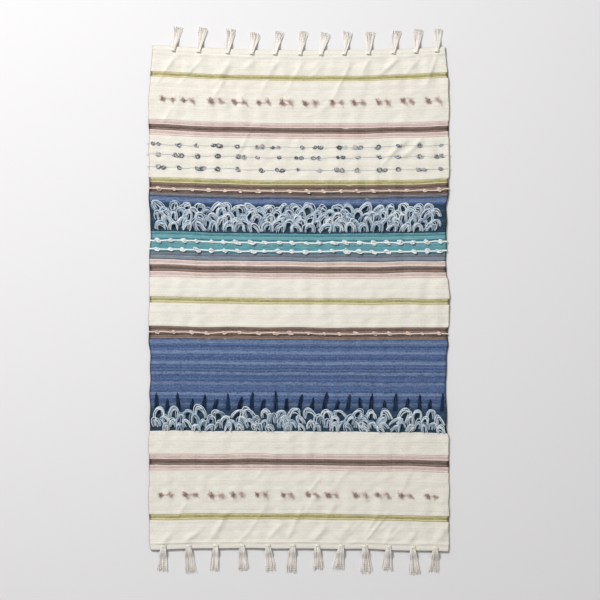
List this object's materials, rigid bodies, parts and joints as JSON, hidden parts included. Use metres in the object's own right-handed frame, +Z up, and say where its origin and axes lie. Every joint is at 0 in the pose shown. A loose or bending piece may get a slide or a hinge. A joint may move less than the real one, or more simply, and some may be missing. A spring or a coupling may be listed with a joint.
{
  "type": "bath mat",
  "caption": "Rectangular hand-woven striped cotton bath mat with slub yarns, looped pile bands, upright tufts and swinging tassels along both short ends.",
  "frame": {"origin": "middle of the floor face, on the floor: the bottom centre of the bounding box", "axes": "+X across the mat towards the right selvedge seen from above with the back end up, +Y along the mat towards the back end, +Z up out of the pile"},
  "size_m": [0.686, 1.257, 0.0191],
  "materials": {
    "cream_cotton": "matt woven cotton",
    "olive": "matt woven cotton",
    "pink": "matt woven cotton",
    "brown": "matt woven cotton",
    "grey": "matt woven cotton",
    "blue": "matt woven cotton",
    "teal": "matt woven cotton",
    "slate": "matt woven cotton",
    "rose_tuft": "matt woven cotton",
    "grey_slub": "matt woven cotton",
    "pink_slub": "matt woven cotton",
    "white_slub": "matt woven cotton",
    "loop_yarn": "matt woven cotton",
    "navy_tuft": "matt woven cotton",
    "tassel_cotton": "matt woven cotton",
    "hem_thread": "matt woven cotton"
  },
  "bodies": {
    "mat": {"grey_slub_1": "grey_slub", "grey_slub_2": "grey_slub", "grey_slub_3": "grey_slub", "pink_slub_1": "pink_slub", "pink_slub_2": "pink_slub", "white_slub_1": "white_slub", "white_slub_2": "white_slub", "rose_tufts_back": "rose_tuft", "rose_tufts_front": "rose_tuft", "loop_pile_back": "loop_yarn", "loop_pile_front": "loop_yarn", "navy_tufts": "navy_tuft", "olive_1": "olive", "pink_1": "pink", "brown_1": "brown", "pink_2": "pink", "olive_2": "olive", "brown_2": "brown", "grey_1": "grey", "blue_1": "blue", "teal_1": "teal", "slate_1": "slate", "pink_3": "pink", "brown_3": "brown", "pink_4": "pink", "olive_3": "olive", "brown_4": "brown", "blue_2": "blue", "pink_5": "pink", "brown_5": "brown", "pink_6": "pink", "olive_4": "olive", "hem_thread_back": "hem_thread", "hem_thread_front": "hem_thread", "ground_cloth": "cream_cotton"},
    "tassel_back_1": {"tassel_back_1": "tassel_cotton"},
    "tassel_back_2": {"tassel_back_2": "tassel_cotton"},
    "tassel_back_3": {"tassel_back_3": "tassel_cotton"},
    "tassel_back_4": {"tassel_back_4": "tassel_cotton"},
    "tassel_back_5": {"tassel_back_5": "tassel_cotton"},
    "tassel_back_6": {"tassel_back_6": "tassel_cotton"},
    "tassel_back_7": {"tassel_back_7": "tassel_cotton"},
    "tassel_back_8": {"tassel_back_8": "tassel_cotton"},
    "tassel_back_9": {"tassel_back_9": "tassel_cotton"},
    "tassel_back_10": {"tassel_back_10": "tassel_cotton"},
    "tassel_back_11": {"tassel_back_11": "tassel_cotton"},
    "tassel_back_12": {"tassel_back_12": "tassel_cotton"},
    "tassel_front_1": {"tassel_front_1": "tassel_cotton"},
    "tassel_front_2": {"tassel_front_2": "tassel_cotton"},
    "tassel_front_3": {"tassel_front_3": "tassel_cotton"},
    "tassel_front_4": {"tassel_front_4": "tassel_cotton"},
    "tassel_front_5": {"tassel_front_5": "tassel_cotton"},
    "tassel_front_6": {"tassel_front_6": "tassel_cotton"},
    "tassel_front_7": {"tassel_front_7": "tassel_cotton"},
    "tassel_front_8": {"tassel_front_8": "tassel_cotton"},
    "tassel_front_9": {"tassel_front_9": "tassel_cotton"},
    "tassel_front_10": {"tassel_front_10": "tassel_cotton"},
    "tassel_front_11": {"tassel_front_11": "tassel_cotton"},
    "tassel_front_12": {"tassel_front_12": "tassel_cotton"}
  },
  "joints": [
    {"name": "tassel_back_1_swing", "type": "hinge", "parent": "mat", "child": "tassel_back_1", "pos_m": [-0.287, 0.57214, 0], "axis": [0, 0, 1], "range_deg": [-10, 34]},
    {"name": "tassel_back_2_swing", "type": "hinge", "parent": "mat", "child": "tassel_back_2", "pos_m": [-0.229, 0.56916, 0], "axis": [0, 0, 1], "range_deg": [-12, 32]},
    {"name": "tassel_back_3_swing", "type": "hinge", "parent": "mat", "child": "tassel_back_3", "pos_m": [-0.163, 0.56648, 0], "axis": [0, 0, 1], "range_deg": [-14, 30]},
    {"name": "tassel_back_4_swing", "type": "hinge", "parent": "mat", "child": "tassel_back_4", "pos_m": [-0.108, 0.56484, 0], "axis": [0, 0, 1], "range_deg": [-13, 31]},
    {"name": "tassel_back_5_swing", "type": "hinge", "parent": "mat", "child": "tassel_back_5", "pos_m": [-0.055, 0.56377, 0], "axis": [0, 0, 1], "range_deg": [-10, 34]},
    {"name": "tassel_back_6_swing", "type": "hinge", "parent": "mat", "child": "tassel_back_6", "pos_m": [0.002, 0.56317, 0], "axis": [0, 0, 1], "range_deg": [-14, 30]},
    {"name": "tassel_back_7_swing", "type": "hinge", "parent": "mat", "child": "tassel_back_7", "pos_m": [0.05, 0.56311, 0], "axis": [0, 0, 1], "range_deg": [-10, 34]},
    {"name": "tassel_back_8_swing", "type": "hinge", "parent": "mat", "child": "tassel_back_8", "pos_m": [0.103, 0.56352, 0], "axis": [0, 0, 1], "range_deg": [-12, 32]},
    {"name": "tassel_back_9_swing", "type": "hinge", "parent": "mat", "child": "tassel_back_9", "pos_m": [0.158, 0.56447, 0], "axis": [0, 0, 1], "range_deg": [-16, 28]},
    {"name": "tassel_back_10_swing", "type": "hinge", "parent": "mat", "child": "tassel_back_10", "pos_m": [0.215, 0.56602, 0], "axis": [0, 0, 1], "range_deg": [-13, 31]},
    {"name": "tassel_back_11_swing", "type": "hinge", "parent": "mat", "child": "tassel_back_11", "pos_m": [0.266, 0.56789, 0], "axis": [0, 0, 1], "range_deg": [-14, 30]},
    {"name": "tassel_back_12_swing", "type": "hinge", "parent": "mat", "child": "tassel_back_12", "pos_m": [0.314, 0.57007, 0], "axis": [0, 0, 1], "range_deg": [-17, 27]},
    {"name": "tassel_front_1_swing", "type": "hinge", "parent": "mat", "child": "tassel_front_1", "pos_m": [-0.309, -0.56178, 0], "axis": [0, 0, 1], "range_deg": [-19, 25]},
    {"name": "tassel_front_2_swing", "type": "hinge", "parent": "mat", "child": "tassel_front_2", "pos_m": [-0.252, -0.56091, 0], "axis": [0, 0, 1], "range_deg": [-26, 18]},
    {"name": "tassel_front_3_swing", "type": "hinge", "parent": "mat", "child": "tassel_front_3", "pos_m": [-0.19, -0.56025, 0], "axis": [0, 0, 1], "range_deg": [-17, 27]},
    {"name": "tassel_front_4_swing", "type": "hinge", "parent": "mat", "child": "tassel_front_4", "pos_m": [-0.13, -0.55988, 0], "axis": [0, 0, 1], "range_deg": [-25, 19]},
    {"name": "tassel_front_5_swing", "type": "hinge", "parent": "mat", "child": "tassel_front_5", "pos_m": [-0.071, -0.55978, 0], "axis": [0, 0, 1], "range_deg": [-28, 16]},
    {"name": "tassel_front_6_swing", "type": "hinge", "parent": "mat", "child": "tassel_front_6", "pos_m": [-0.014, -0.55993, 0], "axis": [0, 0, 1], "range_deg": [-18, 26]},
    {"name": "tassel_front_7_swing", "type": "hinge", "parent": "mat", "child": "tassel_front_7", "pos_m": [0.041, -0.5603, 0], "axis": [0, 0, 1], "range_deg": [-25, 19]},
    {"name": "tassel_front_8_swing", "type": "hinge", "parent": "mat", "child": "tassel_front_8", "pos_m": [0.096, -0.56091, 0], "axis": [0, 0, 1], "range_deg": [-16, 28]},
    {"name": "tassel_front_9_swing", "type": "hinge", "parent": "mat", "child": "tassel_front_9", "pos_m": [0.15, -0.56172, 0], "axis": [0, 0, 1], "range_deg": [-26, 18]},
    {"name": "tassel_front_10_swing", "type": "hinge", "parent": "mat", "child": "tassel_front_10", "pos_m": [0.204, -0.56275, 0], "axis": [0, 0, 1], "range_deg": [-19, 25]},
    {"name": "tassel_front_11_swing", "type": "hinge", "parent": "mat", "child": "tassel_front_11", "pos_m": [0.259, -0.56402, 0], "axis": [0, 0, 1], "range_deg": [-27, 17]},
    {"name": "tassel_front_12_swing", "type": "hinge", "parent": "mat", "child": "tassel_front_12", "pos_m": [0.311, -0.56544, 0], "axis": [0, 0, 1], "range_deg": [-18, 26]}
  ]
}
